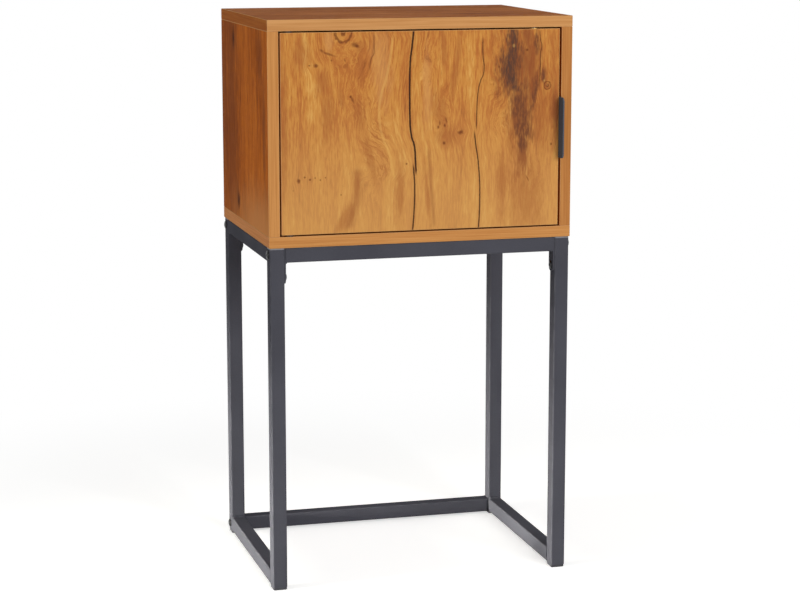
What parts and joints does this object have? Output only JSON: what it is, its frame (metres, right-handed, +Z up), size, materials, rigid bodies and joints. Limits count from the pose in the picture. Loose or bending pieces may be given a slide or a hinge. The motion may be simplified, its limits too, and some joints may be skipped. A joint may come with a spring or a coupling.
{
  "type": "console table with cabinet",
  "caption": "Narrow console table: a wood-grain box cabinet with an inset pivot-hung door and edge pull, on a slim grey square-tube frame open at the front.",
  "frame": {"origin": "on the floor, under the middle of the bounding box, which takes in the door pull and the bolt heads", "axes": "+Z up, -Y towards the front with the door, +X to the right of someone who faces the door"},
  "size_m": [0.4228, 0.327, 0.77],
  "materials": {
    "wood_board": "satin wood-grain surface with knots, cracks and pale edge bands",
    "hardboard": "plain hardboard",
    "beech": "bare beech",
    "grey_steel": "matt grey powder coat",
    "dark_bolt": "dark zinc plate",
    "zinc_steel": "bright zinc plate",
    "brass": "plain brass",
    "nylon": "pale nylon",
    "black_plastic": "moulded dark grey plastic",
    "grey_plastic": "moulded mid grey plastic"
  },
  "bodies": {
    "cabinet": {"top_panel": "wood_board", "bottom_panel": "wood_board", "left_side_panel": "wood_board", "right_side_panel": "wood_board", "back_panel": "hardboard", "wood_dowels": "beech", "front_left_leg": "grey_steel", "front_right_leg": "grey_steel", "rear_left_leg": "grey_steel", "rear_right_leg": "grey_steel", "left_upper_rail": "grey_steel", "left_lower_rail": "grey_steel", "right_upper_rail": "grey_steel", "right_lower_rail": "grey_steel", "front_upper_rail": "grey_steel", "rear_upper_rail": "grey_steel", "rear_lower_rail": "grey_steel", "upper_rail_end_plates": "grey_steel", "lower_rail_end_plates": "grey_steel", "frame_bolts": "dark_bolt", "tab_screws": "dark_bolt", "cabinet_bolts": "dark_bolt", "cam_locks": "zinc_steel", "cam_bolts": "zinc_steel", "weld_nuts": "zinc_steel", "threaded_inserts": "zinc_steel", "pivot_pins": "zinc_steel", "catch_strike_screws": "zinc_steel", "catch_strike": "brass", "foot_caps": "black_plastic", "carcass_pivot_bushes": "black_plastic", "leg_top_caps": "grey_plastic"},
    "door": {"door_panel": "wood_board", "door_pivot_bushes": "black_plastic", "catch_barrel": "brass", "catch_spring": "zinc_steel", "door_pull": "grey_steel", "door_pull_screws": "zinc_steel"},
    "catch_ball": {"catch_ball": "nylon"}
  },
  "joints": [
    {"name": "door_hinge", "type": "hinge", "parent": "cabinet", "child": "door", "pos_m": [-0.1808, -0.1405, 0.62], "axis": [0, 0, -1], "range_deg": [0, 115]},
    {"name": "catch_ball_press", "type": "slide", "parent": "door", "child": "catch_ball", "axis": [0, 0, 1], "range_m": [-0.0015, 0], "stiffness_N_per_m": 150, "springref_m": 0.0005, "deforming": ["catch_spring"]}
  ]
}
